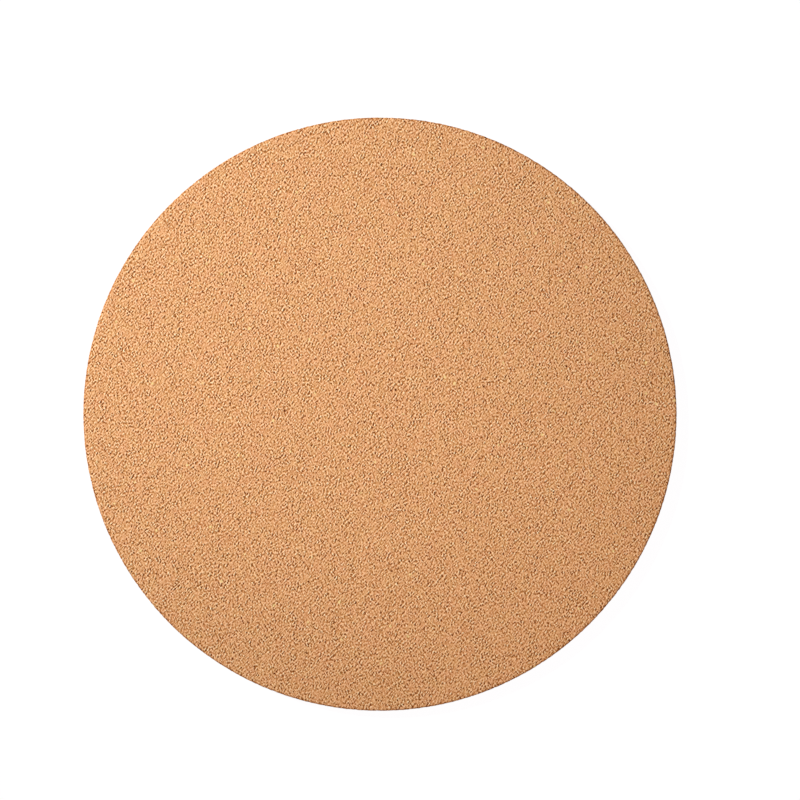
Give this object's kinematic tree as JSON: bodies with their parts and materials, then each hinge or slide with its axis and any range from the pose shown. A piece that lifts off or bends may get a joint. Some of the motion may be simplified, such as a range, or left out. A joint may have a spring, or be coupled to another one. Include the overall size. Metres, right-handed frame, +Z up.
{
  "type": "trivet",
  "caption": "Round flat cork trivet: a die-cut disc of fine-grained agglomerated cork with an eased edge, laid under a hot pot to protect the table.",
  "frame": {"origin": "centre of the underside, where the disc rests on the table", "axes": "+Z up through the thickness, along the disc's axis; X and Y lie in the underside, and the disc is round, so either may point to the front"},
  "size_m": [0.2, 0.2, 0.005],
  "materials": {
    "cork": "matte"
  },
  "bodies": {
    "root": {"cork_disc": "cork"}
  },
  "joints": []
}
